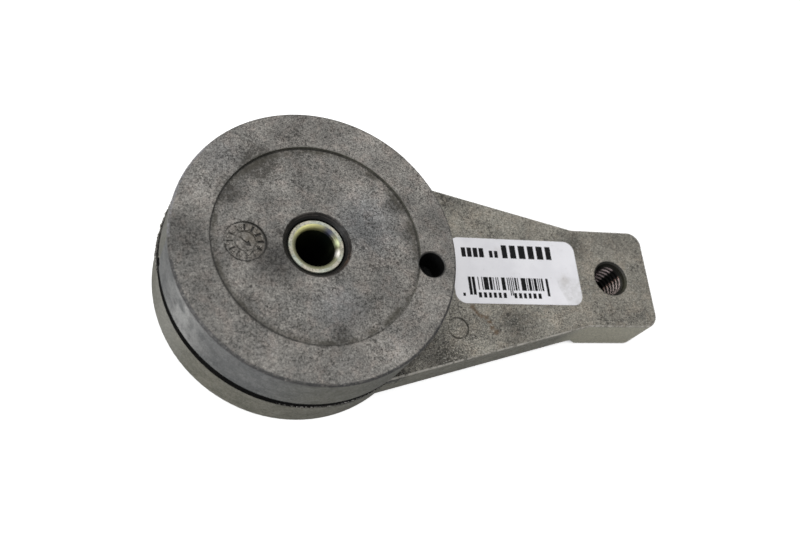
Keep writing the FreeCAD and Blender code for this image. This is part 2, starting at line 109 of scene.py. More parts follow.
class Graph:
    """One material's node tree, with places measured in millimetres of the row frame."""

    def __init__(self, name):
        self.material = bpy.data.materials.new(name)
        self.material.use_nodes = True
        self.nodes = self.material.node_tree.nodes
        self.shader = self.nodes["Principled BSDF"]
        coordinates = self.nodes.new("ShaderNodeTexCoord")
        self.place = self.vector("MULTIPLY", coordinates.outputs["Object"], (1 / MM,) * 3)
        self.x, self.y, self.z = self.split(self.place)
        self.facing_up = self.split(coordinates.outputs["Normal"])[2]

    def link(self, source, socket):
        """Feed a socket from another socket, a number or a tuple."""
        if hasattr(source, "is_output"):
            self.material.node_tree.links.new(source, socket)
        elif isinstance(source, (tuple, list)) and len(socket.default_value) == 4:
            socket.default_value = tuple(source[:3]) + (1.0,)
        else:
            socket.default_value = source

    def split(self, value):
        """The x, y and z of a vector."""
        node = self.nodes.new("ShaderNodeSeparateXYZ")
        self.link(value, node.inputs[0])
        return node.outputs

    def math(self, operation, first, second=0.0, third=0.0):
        """A math node's result; MULTIPLY_ADD is first times second plus third."""
        node = self.nodes.new("ShaderNodeMath")
        node.operation = operation
        for socket, source in zip(node.inputs, (first, second, third)):
            self.link(source, socket)
        return node.outputs[0]

    def times(self, *values):
        product = values[0]
        for value in values[1:]:
            product = self.math("MULTIPLY", product, value)
        return product

    def plus(self, *values):
        total = values[0]
        for value in values[1:]:
            total = self.math("ADD", total, value)
        return total

    def vector(self, operation, first, second):
        """A vector math node's result, which is a number for a length or a distance."""
        node = self.nodes.new("ShaderNodeVectorMath")
        node.operation = operation
        self.link(first, node.inputs[0])
        self.link(second, node.inputs[1])
        return node.outputs["Value" if operation in ("LENGTH", "DISTANCE") else "Vector"]

    def scale(self, color, factor):
        """A colour or vector times a number."""
        node = self.nodes.new("ShaderNodeVectorMath")
        node.operation = "SCALE"
        self.link(color, node.inputs[0])
        self.link(factor, node.inputs["Scale"])
        return node.outputs["Vector"]

    def noise(self, size, detail=3.0, rough=0.55, seed=0.0, stretch=(1, 1, 1), output="Fac"):
        """Noise between 0 and 1 whose lumps are about `size` millimetres across."""
        node = self.nodes.new("ShaderNodeTexNoise")
        moved = self.vector("ADD", self.place, (17.3 * seed, -9.1 * seed, 5.7 * seed))
        self.link(self.vector("MULTIPLY", moved, stretch), node.inputs["Vector"])
        node.inputs["Scale"].default_value = 1 / size
        node.inputs["Detail"].default_value = detail
        node.inputs["Roughness"].default_value = rough
        return node.outputs[output]

    def swing(self, amount, size, **settings):
        """Noise that swings about 0 by up to the given amount."""
        return self.math("MULTIPLY_ADD", self.noise(size, **settings), 2 * amount, -amount)

    def speckle(self, density, size, seed, soft=0.1):
        """Ragged specks about `size` millimetres across: rare at density 0 and all over at 1."""
        grain = self.noise(size, 2.5, 0.62, seed)
        level = self.math("MULTIPLY_ADD", density, 0.42, grain)
        return self.step(level, 0.66, 0.66 + soft)

    def step(self, value, low, high, start=0.0, end=1.0):
        """A smooth step from start to end as the value goes from low to high."""
        node = self.nodes.new("ShaderNodeMapRange")
        node.interpolation_type = "SMOOTHSTEP"
        for index, source in enumerate((value, low, high, start, end)):
            self.link(source, node.inputs[index])
        return node.outputs[0]

    def fall(self, value, low, high):
        """A smooth step from 1 down to 0."""
        return self.step(value, low, high, 1.0, 0.0)

    def band(self, value, middle, width):
        """1 where the value is near the middle, falling to 0 at a distance of one width."""
        off = self.math("ABSOLUTE", self.math("SUBTRACT", value, middle))
        return self.fall(off, 0.0, width)

    def mix(self, share, first, second):
        """The first colour at share 0 and the second at share 1."""
        node = self.nodes.new("ShaderNodeMix")
        node.data_type = "RGBA"
        self.link(share, node.inputs[0])
        self.link(first, node.inputs[6])
        self.link(second, node.inputs[7])
        return node.outputs[2]

    def ramp(self, value, low, high, first, second):
        """The first colour up to the low value and the second from the high one."""
        return self.mix(self.step(value, low, high), first, second)

    def stain(self, color, paint, *shares):
        """The colour mixed towards the paint by the product of the shares."""
        return self.mix(self.times(*shares), color, paint)

    def radius_from(self, x=0.0, y=0.0):
        """Distance in the XY plane from a point."""
        flat = self.vector("MULTIPLY", self.place, (1, 1, 0))
        return self.vector("DISTANCE", flat, (x, y, 0))

    def azimuth(self, x=0.0, y=0.0):
        """Direction in the XY plane from a point, in degrees from -180 to 180."""
        aside = self.math("SUBTRACT", self.y, y)
        ahead = self.math("SUBTRACT", self.x, x)
        return self.math("MULTIPLY", self.math("ARCTAN2", aside, ahead), 180 / math.pi)

    def wandered(self, coarse, fine):
        """The place, pushed about by coarse and fine noise so that patches get ragged edges."""
        place = self.place
        for amount, size, seed in ((coarse, 5.0, 7.0), (fine, 1.1, 8.0)):
            color = self.noise(size, 3.0, 0.6, seed, output="Color")
            push = self.scale(self.vector("SUBTRACT", color, (0.5, 0.5, 0.5)), 2 * amount)
            place = self.vector("ADD", place, push)
        return self.vector("MULTIPLY", place, (1, 1, 0))

    def spot(self, place, x, y, radius):
        """A soft round patch about a point: 1 in its middle and 0 outside."""
        return self.fall(self.vector("DISTANCE", place, (x, y, 0)), radius * 0.15, radius)

    def density(self, place, spots):
        """The sum of soft patches of (x, y, radius, density)."""
        return self.plus(*[self.times(self.spot(place, *spot[:3]), spot[3]) for spot in spots])

    def toned(self, color, place, tones, where=1.0):
        """Lighten or darken a colour by soft patches of (x, y, radius, amount)."""
        factor = 1.0
        for x, y, radius, amount in tones:
            patch = self.math("MULTIPLY_ADD", self.spot(place, x, y, radius), amount, 1.0)
            factor = patch if factor == 1.0 else self.times(factor, patch)
        factor = self.step_between(where, 1.0, factor)
        return self.scale(color, factor)

    def dimmed(self, color, share, depth):
        """The colour darkened by up to depth where the share reaches 1."""
        share = self.math("MINIMUM", share, 1.0)
        return self.scale(color, self.math("MULTIPLY_ADD", share, -depth, 1.0))

    def step_between(self, share, first, second):
        """A number between two others, by a share."""
        rest = self.math("SUBTRACT", 1.0, share)
        return self.plus(self.times(rest, first), self.times(share, second))

    def bump(self, height, strength=1.0):
        """Relief from a height in millimetres."""
        node = self.nodes.new("ShaderNodeBump")
        node.inputs["Distance"].default_value = MM
        node.inputs["Strength"].default_value = strength
        self.link(height, node.inputs["Height"])
        self.link(node.outputs[0], self.shader.inputs["Normal"])

    def finish(self, color, rough, metallic=0.0, specular=0.5):
        """Connect the surface's values and hand back the finished material."""
        self.link(color, self.shader.inputs["Base Color"])
        self.link(rough, self.shader.inputs["Roughness"])
        self.link(metallic, self.shader.inputs["Metallic"])
        self.link(specular, self.shader.inputs["Specular IOR Level"])
        return self.material


# ---------------------------------------------------------------- cast aluminium

PORE = (0.016, 0.014, 0.011)
DIRT = (0.036, 0.032, 0.025)


def cast_layers(graph, dark, light, warm):
    """Colour, roughness and relief of a die-cast skin, before any stains."""
    clouds = graph.noise(8.0, 5.0, 0.6, 1.0)
    color = graph.ramp(clouds, 0.36, 0.64, dark, light)
    tint = graph.step(graph.noise(3.4, 4.0, 0.62, 5.0), 0.46, 0.66)
    color = graph.stain(color, warm, tint, 0.45)
    grain = graph.noise(0.75, 2.0, 0.6, 3.0)
    dust = graph.noise(0.34, 1.0, 0.6, 4.0)
    shade = graph.plus(
        1.0,
        graph.swing(0.3, 2.4, detail=2.0, rough=0.6, seed=2.0),
        graph.swing(0.3, 14.0, detail=2.0, rough=0.5, seed=2.6),
        graph.math("MULTIPLY_ADD", grain, 1.6, -0.8),
        graph.math("MULTIPLY_ADD", dust, 2.9, -1.45),
    )
    color = graph.scale(color, graph.math("MAXIMUM", shade, 0.12))
    patches = graph.step(graph.noise(7.0, 3.0, 0.6, 6.0), 0.42, 0.66)
    pores = graph.speckle(graph.times(patches, 0.42), 0.62, 21.0)
    color = graph.stain(color, PORE, pores, 0.62)
    glints = graph.speckle(0.05, 0.5, 22.0)
    color = graph.stain(color, (0.5, 0.47, 0.44), glints, 0.5)
    rough = graph.step(grain, 0.3, 0.7, 0.6, 0.42)
    relief = graph.plus(
        graph.times(grain, 0.05),
        graph.times(dust, 0.02),
        graph.times(clouds, 0.1),
        graph.times(pores, -0.04),
    )
    return color, rough, relief


FACE_TONES = (  # x, y, radius, amount: broad light and dark areas of the mounting face
    (-31.0, 0.0, 10.0, -0.36),
    (-27.0, -16.0, 10.0, -0.12),
    (-10.0, -4.0, 10.0, -0.55),
    (14.0, -9.0, 11.0, -0.12),
    (5.0, -22.0, 9.0, -0.12),
    (15.5, -27.0, 9.0, 0.42),
    (0.0, -33.0, 7.0, 0.3),
    (27.0, -15.0, 8.0, 0.15),
    (15.5, 27.0, 8.0, 0.36),
    (27.0, 18.0, 9.0, 0.35),
    (-26.5, 15.5, 8.0, 0.38),
    (-10.0, 16.5, 8.0, 0.42),
    (15.0, 13.0, 9.0, 0.42),
    (19.0, 0.0, 7.0, 0.3),
    (-15.0, -9.0, 6.0, -0.2),
    (0.0, 31.5, 6.0, -0.15),
    (-6.5, -17.0, 6.5, 0.25),
    (7.0, -17.0, 6.5, -0.25),
    (0.0, 12.0, 5.0, -0.15),
    (-15.0, 27.0, 7.0, 0.28),
)
FACE_DIRT = (  # x, y, radius, density: speckled dirt, most of it held inside the recess's edge
    (-13.0, 20.5, 8.0, 1.3),
    (-20.5, 13.0, 6.0, 1.0),
    (-4.0, 23.5, 4.5, 0.5),
    (-10.5, 11.5, 5.0, 0.45),
    (-5.5, 30.0, 6.0, 0.4),
    (4.0, 31.0, 5.0, 0.25),
    (21.3, 12.0, 4.5, 0.8),
    (24.0, 4.0, 4.0, 0.75),
    (12.0, 20.5, 4.0, 0.35),
    (13.0, 4.0, 6.0, 0.35),
    (3.5, -22.5, 4.5, 0.65),
    (-6.0, -21.5, 3.5, 0.4),
    (-18.4, -15.6, 4.5, 0.7),
    (-1.5, -31.5, 5.0, 0.4),
    (-12.5, -3.5, 6.5, 0.6),
    (-8.5, -8.0, 4.0, 0.5),
    (-23.6, -5.5, 5.0, 0.55),
    (-30.0, 3.0, 7.0, 0.35),
    (-28.0, -10.0, 5.0, 0.4),
    (30.8, 6.5, 5.5, 0.45),
    (26.2, -1.0, 2.6, 0.6),
    (32.0, -6.0, 3.5, 0.4),
    (-24.0, 20.0, 5.0, 0.35),
)
FACE_COOL = (  # x, y, radius, share: areas with a bluish bloom
    (13.0, 6.0, 12.0, 0.9),
    (4.0, -16.0, 9.0, 0.8),
    (-22.0, 22.0, 8.0, 0.5),
)
FACE_RUBS = (  # x, y, radius, density: pale rubbed specks
    (16.0, -26.0, 7.0, 0.45),
    (-27.0, 14.0, 6.0, 0.4),
    (-14.0, -26.0, 6.0, 0.35),
    (-9.0, 16.0, 5.0, 0.3),
    (28.0, 20.0, 6.0, 0.35),
    (5.0, -30.0, 5.0, 0.4),
)


def cast_housing():
    """The base housing: grainy cast face, smoother wall, dirt by its edges and marks, and painted
    light and shade at its edges, seat and holes.
    """
    graph = Graph("cast_housing")
    tones = ((0.139, 0.134, 0.124), (0.193, 0.183, 0.167), (0.213, 0.184, 0.163))
    color, rough, relief = cast_layers(graph, *tones)
    face = graph.step(graph.facing_up, 0.5, 0.9)
    side = graph.fall(graph.facing_up, 0.1, 0.4)
    from_axis = graph.radius_from()
    azimuth = graph.azimuth()
    color = graph.stain(color, wall_skin(graph, azimuth), side, 0.85)
    place = graph.wandered(2.0, 0.9)
    color = graph.toned(color, place, FACE_TONES, face)
    grime = graph.times(graph.density(place, FACE_DIRT), face)
    color = graph.dimmed(color, grime, 0.5)
    dirt = graph.speckle(graph.times(graph.math("MINIMUM", grime, 1.1), 0.68), 0.6, 9.0, 0.2)
    color = graph.stain(color, DIRT, dirt, face, 0.75)
    cool = graph.density(place, FACE_COOL)
    color = graph.stain(color, graph.vector("MULTIPLY", color, (0.93, 0.985, 1.07)), cool, face)
    rubs = graph.speckle(graph.times(graph.density(place, FACE_RUBS), 0.8), 0.7, 10.0)
    color = graph.stain(color, (0.36, 0.34, 0.33), rubs, face, 0.4)
    color = recess_edge(graph, color, from_axis, azimuth, face)
    color = rim_edge(graph, color, from_axis, azimuth)
    color = dial_dirt(graph, color)
    color, relief = machined_seat(graph, color, relief, from_axis, azimuth)
    color = pin_hole_shade(graph, color)
    color = notch_gleam(graph, color, from_axis)
    graph.bump(relief, 0.8)
    return graph.finish(color, rough, 0.3)


def pin_hole_shade(graph, color):
    """The locating pin hole: painted shade, black inside, with a dull mouth."""
    from_pin = graph.radius_from(PIN_X, PIN_Y)
    mouth = graph.fall(from_pin, PIN_RADIUS + 0.3, PIN_RADIUS + 0.42)
    color = graph.stain(color, (0.05, 0.048, 0.045), mouth, 0.75)
    # Painted shade: the inside of the hole is painted black.
    in_hole = graph.fall(from_pin, PIN_RADIUS + 0.02, PIN_RADIUS + 0.16)
    return graph.mix(in_hole, color, (0.004, 0.004, 0.004))


def notch_gleam(graph, color, from_axis):
    """A painted highlight: bright metal colour in the index notch at the housing's lower edge."""
    notch = graph.fall(from_axis, HOUSING_RADIUS - 0.06, HOUSING_RADIUS - 0.03)
    notch = graph.times(notch, graph.fall(graph.z, BASE_EDGE + 1.5, BASE_EDGE + 1.6))
    notch = graph.times(notch, graph.step(from_axis, HOUSING_RADIUS - 1.5, HOUSING_RADIUS - 1.3))
    return graph.stain(color, (0.62, 0.6, 0.54), notch, 0.8)


def wall_skin(graph, azimuth):
    """The smoother wall: bluish grey on the left, olive to the right, with a painted highlight on
    the near left.
    """
    low = graph.noise(5.0, 4.0, 0.6, 11.0, stretch=(1, 1, 1.6))
    fine = graph.noise(0.45, 3.0, 0.65, 15.0)
    blue = graph.ramp(low, 0.38, 0.62, (0.125, 0.131, 0.134), (0.195, 0.2, 0.2))
    olive = graph.ramp(low, 0.38, 0.62, (0.128, 0.128, 0.103), (0.183, 0.182, 0.15))
    rightward = graph.step(azimuth, -118.0, -84.0)
    behind = graph.step(azimuth, -180.0, -110.0)
    color = graph.stain(blue, olive, rightward, behind)
    haze = graph.step(graph.noise(4.0, 4.0, 0.6, 12.0, stretch=(1, 1, 0.7)), 0.3, 0.6)
    # Painted highlight: pale haze on the wall at the near left, where the left lamp falls.
    highlight_zone = graph.band(azimuth, -152.0, 20.0)
    color = graph.stain(color, (0.5, 0.5, 0.49), haze, highlight_zone, 0.75)
    streaks = graph.step(graph.noise(2.0, 4.0, 0.66, 13.0), 0.55, 0.7)
    color = graph.stain(color, (0.36, 0.365, 0.36), streaks, 0.25)
    # Darker at the lower right: partly dirt and partly painted shade from the arm.
    color = graph.dimmed(color, graph.band(azimuth, -58.0, 22.0), 0.18)
    return graph.scale(color, graph.math("MULTIPLY_ADD", fine, 1.9, 0.07))


def recess_edge(graph, color, from_axis, azimuth, face):
    """Old dirt in the recess's corner and along its edge, thickest at the near left, with a painted
    shadow line at the foot of the edge.
    """
    near_left = graph.band(azimuth, -135.0, 75.0)
    low_right = graph.band(azimuth, -38.0, 40.0)
    broken = graph.step(graph.noise(4.5, 4.0, 0.68, 12.5), 0.38, 0.6)
    smear = graph.math("MAXIMUM", broken, graph.times(near_left, 0.75))
    inner = graph.times(graph.band(from_axis, RECESS_RADIUS - 1.0, 1.5), smear, face)
    color = graph.stain(color, (0.04, 0.036, 0.025), inner, 0.8)
    # Painted shadow: a thin dark line at the foot of the recess's edge, set further in at the near
    # left.
    tucked = graph.plus(from_axis, graph.times(near_left, 0.5))
    thin = graph.band(tucked, RECESS_RADIUS - 0.2, 0.42)
    below = graph.fall(graph.z, RIM_LEVEL - 0.3, RIM_LEVEL - 0.1)
    shadow_share = graph.step(graph.noise(6.0, 3.0, 0.6, 13.5), 0.36, 0.56, 0.5, 0.95)
    shadow_share = graph.math("MAXIMUM", shadow_share, graph.step(graph.math("ABSOLUTE", azimuth), 95.0, 125.0))
    shadow_share = graph.times(shadow_share, graph.math("SUBTRACT", 1.0, graph.times(low_right, 0.65)))
    color = graph.stain(color, (0.016, 0.015, 0.012), thin, below, shadow_share)
    lip = graph.times(graph.band(from_axis, RECESS_RADIUS + 0.55, 0.5), face)
    worn = graph.step(graph.noise(2.2, 3.0, 0.6, 14.5), 0.45, 0.62)
    return graph.stain(color, (0.27, 0.26, 0.24), lip, worn, 0.35)


def rim_edge(graph, color, from_axis, azimuth):
    """The rounded outer edge: dark along the near side, rubbed pale on the far left."""
    near_edge = graph.step(from_axis, HOUSING_RADIUS - 0.75, HOUSING_RADIUS - 0.45)
    near_edge = graph.times(near_edge, graph.step(graph.z, RIM_LEVEL - 1.05, RIM_LEVEL - 0.65))
    front = graph.times(graph.step(azimuth, -179.0, -168.0), graph.fall(azimuth, -25.0, -5.0))
    ragged = graph.step(graph.noise(1.4, 4.0, 0.65, 16.0), 0.3, 0.55, 0.45, 1.0)
    color = graph.stain(color, (0.042, 0.042, 0.044), near_edge, front, ragged, 0.85)
    left = graph.step(azimuth, 128.0, 142.0)
    pale = graph.step(graph.noise(0.9, 3.0, 0.65, 17.0), 0.35, 0.6)
    color = graph.stain(color, (0.33, 0.33, 0.36), near_edge, left, pale, 0.6)
    right = graph.times(graph.step(azimuth, -30.0, -10.0), graph.fall(azimuth, 60.0, 90.0))
    chips = graph.speckle(0.35, 0.8, 18.5)
    color = graph.stain(color, (0.03, 0.03, 0.028), near_edge, right, chips, 0.8)
    nicks = graph.speckle(0.1, 0.7, 17.5)
    return graph.stain(color, (0.46, 0.44, 0.42), near_edge, nicks, 0.6)


def dial_dirt(graph, color):
    """Dirt in and between the marks of the cast date dial, worst on its upper right."""
    from_dial = graph.radius_from(DIAL_X)
    on_dial = graph.fall(from_dial, DIAL_RADIUS + 0.4, DIAL_RADIUS + 1.2)
    on_dial = graph.times(on_dial, graph.fall(graph.z, RECESS_LEVEL + 0.4, RIM_LEVEL))
    inside = graph.fall(from_dial, DIAL_RADIUS - 0.4, DIAL_RADIUS)
    upper_right = graph.band(graph.azimuth(DIAL_X), 35.0, 110.0)
    stain = graph.times(on_dial, inside, graph.plus(0.15, graph.times(upper_right, 0.5)))
    color = graph.mix(stain, color, (0.105, 0.088, 0.064))
    smudge = graph.speckle(0.42, 0.8, 18.0, 0.2)
    color = graph.stain(color, (0.04, 0.034, 0.026), on_dial, smudge, 0.75)
    pale = graph.speckle(0.32, 0.7, 19.5, 0.2)
    color = graph.stain(color, (0.33, 0.3, 0.27), on_dial, inside, pale, 0.6)
    in_groove = graph.fall(graph.z, RECESS_LEVEL - 0.2, RECESS_LEVEL - 0.06)
    worn = graph.step(graph.noise(1.3, 3.0, 0.65, 19.0), 0.42, 0.6, 0.0, 0.85)
    worn = graph.math("MAXIMUM", worn, graph.step(upper_right, 0.2, 0.6))
    inner_ring = DIAL_RADIUS * 0.52
    off_ring = graph.step(graph.band(from_dial, inner_ring, 0.5), 0.1, 0.3, 1.0, 0.3)
    color = graph.stain(color, (0.008, 0.007, 0.005), in_groove, on_dial, worn, off_ring)
    ring_soil = graph.step(graph.band(from_dial, DIAL_RADIUS + 0.2, 0.6), 0.1, 0.5)
    ring_soil = graph.times(ring_soil, graph.step(upper_right, 0.35, 0.7))
    across = graph.math("PINGPONG", graph.azimuth(DIAL_X), 180 / DIAL_SECTORS)
    across = graph.times(across, from_dial, math.pi / 180)
    near_tick = graph.fall(across, 0.24, 0.46)
    near_tick = graph.times(near_tick, graph.step(from_dial, 2.6, 2.9), inside)
    soil = graph.math("MAXIMUM", ring_soil, graph.times(near_tick, worn))
    return graph.stain(color, (0.014, 0.012, 0.009), soil, on_dial, 0.8)


def machined_seat(graph, color, relief, from_axis, azimuth):
    """The countersink round the sleeve: brownish tool marks in tones partly kept dark as painted
    shade, painted black towards the gap, with a pale edge.
    """
    seat = graph.fall(from_axis, COUNTERSINK_RADIUS, COUNTERSINK_RADIUS + 0.14)
    turns = graph.noise(2.5, 3.0, 0.6, 14.0)
    phase = graph.math("MULTIPLY_ADD", from_axis, 2 * math.pi / 0.42, graph.times(turns, 5.0))
    marks = graph.math("SINE", phase)
    wear = graph.plus(turns, graph.times(marks, 0.13), graph.swing(0.3, 0.5, seed=14.4))
    # The seat's very dark tones are partly painted shade.
    metal = graph.ramp(wear, 0.38, 0.66, (0.008, 0.007, 0.006), (0.042, 0.036, 0.033))
    shadow_side = graph.band(azimuth, 35.0, 60.0)
    metal = graph.stain(metal, (0.01, 0.01, 0.01), shadow_side, 0.6)
    rust = graph.times(graph.band(azimuth, -28.0, 30.0), graph.step(turns, 0.4, 0.6))
    metal = graph.stain(metal, (0.11, 0.065, 0.038), rust, 0.5)
    # The pale edge is partly wear and partly a painted highlight.
    worn_edge_and_sheen = graph.band(from_axis, COUNTERSINK_RADIUS - 0.05, 0.25)
    worn_edge_and_sheen = graph.times(worn_edge_and_sheen, graph.step(turns, 0.42, 0.6))
    metal = graph.stain(metal, (0.17, 0.155, 0.145), worn_edge_and_sheen, 0.5)
    # Painted shadow: black deep in the countersink, towards the gap.
    deep = graph.fall(from_axis, SLEEVE_RADIUS + 0.6, SLEEVE_RADIUS + 1.05)
    metal = graph.stain(metal, (0.003, 0.003, 0.003), deep, 0.97)
    relief = graph.plus(relief, graph.times(seat, marks, 0.015))
    return graph.mix(seat, color, metal), relief


ARM_TONES = (  # x, y, radius, amount: broad light and dark areas of the arm's face
    # The first patch, beside the housing, is partly painted shade from the housing.
    (36.0, -24.0, 9.0, -0.3),
    (47.0, -24.0, 6.0, 0.35),
    (45.0, -15.0, 7.0, -0.2),
    (47.0, 15.0, 9.0, 0.15),
    (58.0, -14.0, 8.0, -0.38),
    (68.0, -13.0, 6.0, 0.2),
    (58.0, 16.0, 9.0, 0.4),
    (42.0, 22.0, 7.0, -0.12),
    (80.0, 9.5, 5.5, -0.3),
    (83.0, 1.0, 4.0, 0.25),
    (92.0, 11.0, 7.0, -0.1),
    (98.0, 3.0, 6.0, 0.1),
    (75.0, 14.5, 5.0, 0.25),
)
ARM_OIL = (  # x, y, radius: a brown run of old oil below the label
    (45.6, -9.6, 0.9),
    (46.4, -11.0, 0.9),
    (47.6, -11.8, 0.8),
    (48.9, -12.2, 0.8),
    (49.8, -13.6, 0.8),
    (50.4, -15.2, 0.8),
    (51.6, -16.4, 0.9),
)
ARM_DIRT = (  # x, y, radius, density: speckled dirt
    (37.0, -25.0, 11.0, 0.95),
    (57.0, -15.0, 6.0, 0.35),
    (80.5, 9.0, 5.0, 0.6),
    (88.0, -12.0, 7.0, 0.25),
    (44.0, 24.0, 7.0, 0.3),
    (95.0, 11.0, 6.0, 0.3),
)


def cast_arm():
    """The arm: a paler and browner casting than the housing, with oil and dirt at its root, and
    painted light and shade by the housing, on its edges and walls and in the thread's mouth.
    """
    graph = Graph("cast_arm")
    tones = ((0.19, 0.182, 0.156), (0.246, 0.231, 0.196), (0.268, 0.231, 0.184))
    color, rough, relief = cast_layers(graph, *tones)
    side = graph.fall(graph.facing_up, 0.1, 0.4)
    face = graph.step(graph.facing_up, 0.5, 0.9)
    color = graph.stain(color, arm_wall(graph), side, 0.8)
    place = graph.wandered(1.8, 0.7)
    color = graph.toned(color, place, ARM_TONES, face)
    grime = graph.times(graph.density(place, ARM_DIRT), face)
    color = graph.dimmed(color, grime, 0.4)
    dirt = graph.speckle(graph.times(grime, 0.7), 0.65, 9.0, 0.2)
    color = graph.stain(color, DIRT, dirt, face, 0.7)
    thin = graph.wandered(0.6, 0.5)
    oil = graph.density(thin, [(x, y, radius * 1.4, 0.85) for x, y, radius in ARM_OIL])
    color = graph.stain(color, (0.1, 0.062, 0.032), graph.math("MINIMUM", oil, 0.85), face)
    color = root_shade_and_crumbs(graph, color, face)
    color = sand_and_glints(graph, color, place, face)
    color = rubbed_and_lit_edges(graph, color)
    color = ejector_dirt(graph, color)
    color = flow_line(graph, color, thin, face)
    color = thread_mouth(graph, color)
    graph.bump(relief, 0.9)
    return graph.finish(color, rough, 0.28)


def root_shade_and_crumbs(graph, color, face):
    """Painted shade under the housing's edge and black crumbs where the arm leaves the cup."""
    from_axis = graph.radius_from()
    # Painted shade: the arm's face darkens close under the housing's edge.
    near_cup = graph.fall(from_axis, HOUSING_RADIUS - 1, HOUSING_RADIUS + 3.5)
    color = graph.stain(color, (0.045, 0.043, 0.037), near_cup, face, 0.55)
    azimuth = graph.plus(graph.azimuth(), graph.swing(14.0, 5.0, seed=25.0))
    low_side = graph.times(graph.step(azimuth, -84.0, -72.0), graph.fall(azimuth, -52.0, -34.0))
    height = graph.plus(graph.z, graph.swing(3.0, 3.0, seed=23.0))
    low_side = graph.times(low_side, graph.math("MAXIMUM", face, graph.step(height, 6.5, 12.5)))
    filth = graph.speckle(graph.times(low_side, 0.75), 0.7, 16.0, 0.15)
    ragged = graph.plus(from_axis, graph.swing(1.2, 1.5, seed=17.0))
    soiled = graph.fall(ragged, HOUSING_RADIUS + 1.6, HOUSING_RADIUS + 3.0)
    return graph.stain(color, (0.008, 0.008, 0.008), filth, soiled, low_side, 0.95)


def sand_and_glints(graph, color, place, face):
    """Sandy grains low on the arm, and single painted glints all over its face."""
    sandy = graph.spot(place, 43.0, -20.0, 17.0)
    sand = graph.times(graph.speckle(graph.times(sandy, 0.3), 0.5, 6.0), sandy, face)
    color = graph.stain(color, (0.56, 0.52, 0.44), sand, 0.62)
    # Painted highlights: bright glint specks over the face.
    glints = graph.times(graph.speckle(0.2, 0.5, 7.0), face)
    return graph.stain(color, (0.55, 0.53, 0.48), glints, 0.45)


def rubbed_and_lit_edges(graph, color):
    """The rounded edges of the arm's face, pale, most of all on its lower side: partly wear and
    partly a painted highlight.
    """
    # Pale edge line: partly wear and partly a painted highlight.
    turned = graph.step(graph.facing_up, 0.25, 0.5)
    turned = graph.times(turned, graph.fall(graph.facing_up, 0.9, 0.985))
    turned = graph.times(turned, graph.step(graph.z, ARM_TOP - 0.7, ARM_TOP - 0.5))
    rubbed = graph.step(graph.noise(1.3, 3.0, 0.65, 13.0), 0.36, 0.6, 0.15, 0.8)
    rubbed = graph.times(rubbed, graph.step(graph.y, -8.0, -4.0, 1.2, 0.8))
    return graph.stain(color, (0.52, 0.495, 0.45), turned, rubbed)


def thread_mouth(graph, color):
    """Painted shade in the mouth of the pulley thread: near black, a little paler and olive on the
    lower lip.
    """
    from_thread = graph.radius_from(THREAD_X)
    in_thread = graph.fall(from_thread, THREAD_WALL + 0.56, THREAD_WALL + 0.68)
    sunk = graph.fall(graph.z, ARM_TOP - 0.12, ARM_TOP - 0.02)
    lower_lip = graph.band(graph.azimuth(THREAD_X), -20.0, 55.0)
    lip_color = graph.mix(lower_lip, (0.012, 0.012, 0.009), (0.04, 0.04, 0.022))
    return graph.stain(color, lip_color, in_thread, sunk, 0.96)


def arm_wall(graph):
    """Side walls of the cup, the web and the boss, which is painted palest for light from the
    floor, with a painted highlight on the cup's left.
    """
    low = graph.noise(4.0, 4.0, 0.6, 11.0, stretch=(1, 1, 1.6))
    fine = graph.noise(0.45, 3.0, 0.65, 15.0)
    wall = graph.ramp(low, 0.36, 0.64, (0.152, 0.15, 0.117), (0.224, 0.217, 0.177))
    azimuth = graph.azimuth()
    # Painted highlight on the cup's left side.
    left_highlight = graph.times(graph.band(azimuth, -160.0, 24.0), graph.fall(graph.x, 0.0, 10.0))
    wall = graph.stain(wall, (0.33, 0.33, 0.3), left_highlight, 0.7)
    height = graph.plus(graph.z, graph.swing(3.0, 3.0, seed=23.0))
    ragged = graph.plus(azimuth, graph.swing(14.0, 5.0, seed=25.0))
    foul = graph.times(graph.band(ragged, -69.0, 19.0), graph.step(height, 6.5, 12.5))
    crumbs = graph.speckle(graph.times(foul, 0.9), 0.7, 24.0, 0.15)
    wall = graph.stain(wall, (0.008, 0.008, 0.008), crumbs, graph.step(foul, 0.0, 0.5), 0.96)
    # Painted light: the boss's sides are painted pale, as if lit by light from the floor.
    boss_bounce_light = graph.step(graph.x, 70.0, 80.0)
    wall = graph.stain(wall, (0.52, 0.5, 0.4), boss_bounce_light, 0.85)
    return graph.scale(wall, graph.math("MULTIPLY_ADD", fine, 2.0, 0.0))


def ejector_dirt(graph, color):
    """Dirt in the round mark of an ejector pin, worn away on its left."""
    marks = graph.azimuth(EJECTOR_X, EJECTOR_Y)
    kept = graph.fall(graph.math("ABSOLUTE", marks), 118.0, 150.0)
    from_mark = graph.radius_from(EJECTOR_X, EJECTOR_Y)
    groove = graph.times(graph.band(from_mark, EJECTOR_RADIUS, 0.5), kept)
    broken = graph.step(graph.noise(1.2, 3.0, 0.65, 19.0), 0.34, 0.52, 0.3, 0.9)
    return graph.stain(color, (0.035, 0.032, 0.024), groove, broken)


def flow_line(graph, color, place, face):
    """A short dark cold-flow line in the casting near the arm's root."""
    ring = graph.band(graph.vector("DISTANCE", place, (41.0, 14.0, 0)), 6.0, 0.4)
    part = graph.spot(place, 46.0, 17.5, 3.0)
    return graph.stain(color, (0.05, 0.045, 0.036), ring, part, face, 0.7)


# ---------------------------------------------------------------- other materials


